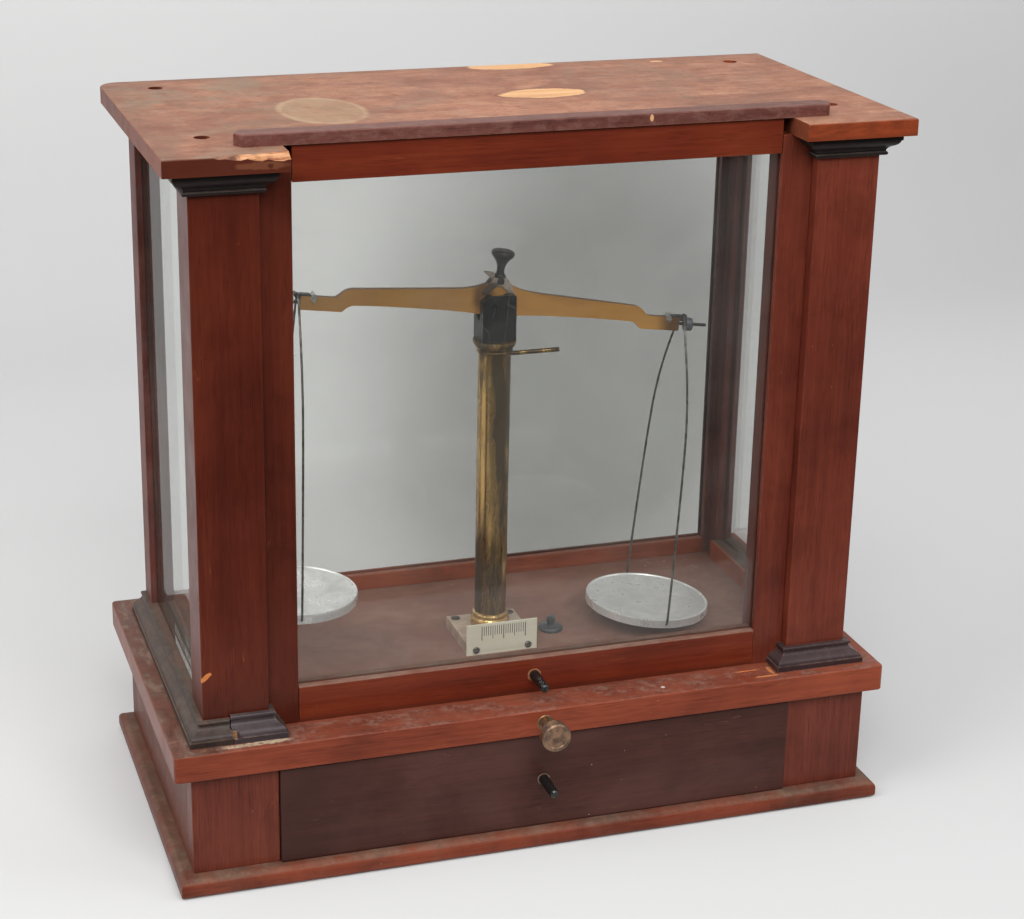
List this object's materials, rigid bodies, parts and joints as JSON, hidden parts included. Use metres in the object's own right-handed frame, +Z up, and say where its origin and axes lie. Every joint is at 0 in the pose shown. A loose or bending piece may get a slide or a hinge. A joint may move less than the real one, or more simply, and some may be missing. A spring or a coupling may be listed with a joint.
{
  "type": "analytical balance",
  "caption": "Glazed wooden case with a sliding front sash and a drawer, holding a knife-edge beam balance on a brass pillar with two hanging pans.",
  "frame": {"origin": "centre of the base board's underside, on the surface it stands on", "axes": "+Z up, +Y to the back of the case, +X to the right of a person facing the sash"},
  "size_m": [0.4338, 0.2425, 0.4287],
  "materials": {
    "mahogany_base": "varnished, worn edges",
    "mahogany_plinth": "varnished",
    "drawer_wood": "varnished, dark",
    "secondary_wood": "bare",
    "mahogany_deck": "dusty varnish",
    "mahogany_column": "varnished",
    "moulding_wood": "dark, dusty",
    "ebonised_wood": "black",
    "mahogany_post": "varnished, dusty",
    "clear_glass": "clear, slightly dusty",
    "mahogany_top": "worn, stained",
    "steel_screw": "aged",
    "dull_nickel": "dull",
    "polished_brass": "polished",
    "tarnished_brass": "lacquered, dark tarnish",
    "ivory": "satin",
    "grey_metal": "dull",
    "aged_brass_knob": "aged",
    "steel": "plain",
    "black_block": "black",
    "agate": "polished",
    "beam_brass": "lacquered, satin",
    "bright_steel": "ground",
    "dark_steel": "dark, aged",
    "black_knob": "black, worn",
    "aluminium_pan": "satin",
    "mahogany_sash": "varnished, orange-red",
    "ebony_peg": "black, polished"
  },
  "bodies": {
    "case": {"base_board": "mahogany_base", "plinth_corner_blocks": "mahogany_plinth", "plinth_sides": "mahogany_plinth", "plinth_back": "mahogany_plinth", "drawer_guides": "secondary_wood", "deck_board": "mahogany_deck", "column_left": "mahogany_column", "column_right": "mahogany_column", "stile_left": "mahogany_column", "stile_right": "mahogany_column", "base_moulding_left": "moulding_wood", "base_moulding_broken_piece": "moulding_wood", "base_moulding_right": "moulding_wood", "capital_left": "ebonised_wood", "capital_right": "ebonised_wood", "rear_posts": "mahogany_post", "sill_rails": "mahogany_post", "head_rails": "secondary_wood", "side_panes": "clear_glass", "back_pane": "clear_glass", "top_board": "mahogany_top", "top_board_screws": "steel_screw", "pillar_base_plate": "dull_nickel", "pillar_plate_screws": "steel_screw", "pillar_foot_ring": "polished_brass", "pillar_tube": "tarnished_brass", "pillar_collar": "tarnished_brass", "scale_plate": "ivory", "scale_plate_screws": "steel_screw", "plumb_line_arm": "tarnished_brass", "plumb_index": "grey_metal", "arrest_bushing": "polished_brass"},
    "sash": {"sash_top_rail": "mahogany_sash", "sash_cap_strip": "mahogany_sash", "sash_bottom_rail": "mahogany_sash", "sash_glass": "clear_glass", "sash_peg": "ebony_peg"},
    "drawer": {"drawer_front": "drawer_wood", "drawer_box_sides": "secondary_wood", "drawer_bottom": "secondary_wood", "drawer_peg": "ebony_peg"},
    "arrest": {"arrest_shaft": "steel", "arrest_knob": "aged_brass_knob", "arrest_cam": "steel"},
    "lift": {"lift_rod": "steel", "beam_block": "black_block", "agate_plates": "agate"},
    "beam": {"beam": "beam_brass", "centre_knife": "bright_steel", "terminal_knives": "bright_steel", "beam_saddle": "dull_nickel", "end_hooks": "dark_steel", "balance_screw_rods": "dark_steel"},
    "gravity_knob": {"gravity_knob": "black_knob"},
    "balance_nut_left": {"balance_nut_left": "dark_steel"},
    "balance_nut_right": {"balance_nut_right": "dark_steel"},
    "bow_left": {"bow_left": "dark_steel"},
    "bow_right": {"bow_right": "dark_steel"},
    "pan_left": {"pan_left": "aluminium_pan"},
    "pan_right": {"pan_right": "aluminium_pan"}
  },
  "joints": [
    {"name": "sash_slide", "type": "slide", "parent": "case", "child": "sash", "axis": [0, 0, 1], "range_m": [0, 0.25]},
    {"name": "drawer_slide", "type": "slide", "parent": "case", "child": "drawer", "axis": [0, -1, 0], "range_m": [0, 0.15]},
    {"name": "arrest_turn", "type": "hinge", "parent": "case", "child": "arrest", "pos_m": [0, -0.11, 0.0793], "axis": [0, 1, 0], "range_deg": [-4, 100]},
    {"name": "arrest_lift", "type": "slide", "parent": "case", "child": "lift", "axis": [0, 0, 1], "range_m": [0, 0.002]},
    {"name": "beam_swing", "type": "hinge", "parent": "lift", "child": "beam", "pos_m": [0, -0.002, 0.301], "axis": [0, 1, 0], "range_deg": [-15.2, 0]},
    {"name": "gravity_knob_turn", "type": "hinge", "parent": "beam", "child": "gravity_knob", "pos_m": [0.00265, -0.002, 0.32082], "axis": [0.1323, 0, 0.9912], "continuous": true},
    {"name": "balance_nut_left_turn", "type": "hinge", "parent": "beam", "child": "balance_nut_left", "pos_m": [-0.1245, -0.002, 0.31307], "axis": [0.9912, 0, -0.1323], "continuous": true},
    {"name": "balance_nut_right_turn", "type": "hinge", "parent": "beam", "child": "balance_nut_right", "pos_m": [0.12331, -0.002, 0.28001], "axis": [0.9912, 0, -0.1323], "continuous": true},
    {"name": "bow_left_hang", "type": "hinge", "parent": "beam", "child": "bow_left", "pos_m": [-0.11924, -0.002, 0.31691], "axis": [0.1045, 0.9945, -0.0027], "range_deg": [-0.5, 15.7]},
    {"name": "bow_right_hang", "type": "hinge", "parent": "beam", "child": "bow_right", "pos_m": [0.11924, -0.002, 0.28509], "axis": [0.0574, 0.9983, -0.0047], "range_deg": [-0.5, 15.7]},
    {"name": "pan_left_tilt", "type": "hinge", "parent": "bow_left", "child": "pan_left", "pos_m": [-0.12412, -0.002, 0.13067], "axis": [0.1045, 0.9945, -0.0027], "range_deg": [-5, 5]},
    {"name": "pan_right_tilt", "type": "hinge", "parent": "bow_right", "child": "pan_right", "pos_m": [0.10398, -0.002, 0.09942], "axis": [0.0574, 0.9983, -0.0047], "range_deg": [-5, 5]}
  ],
  "couplings": [
    {"joint": "arrest_turn", "follows": "arrest_lift", "rad_per_m": 785.32},
    {"joint": "bow_left_hang", "follows": "beam_swing", "ratio": -1},
    {"joint": "bow_right_hang", "follows": "beam_swing", "ratio": -1}
  ]
}
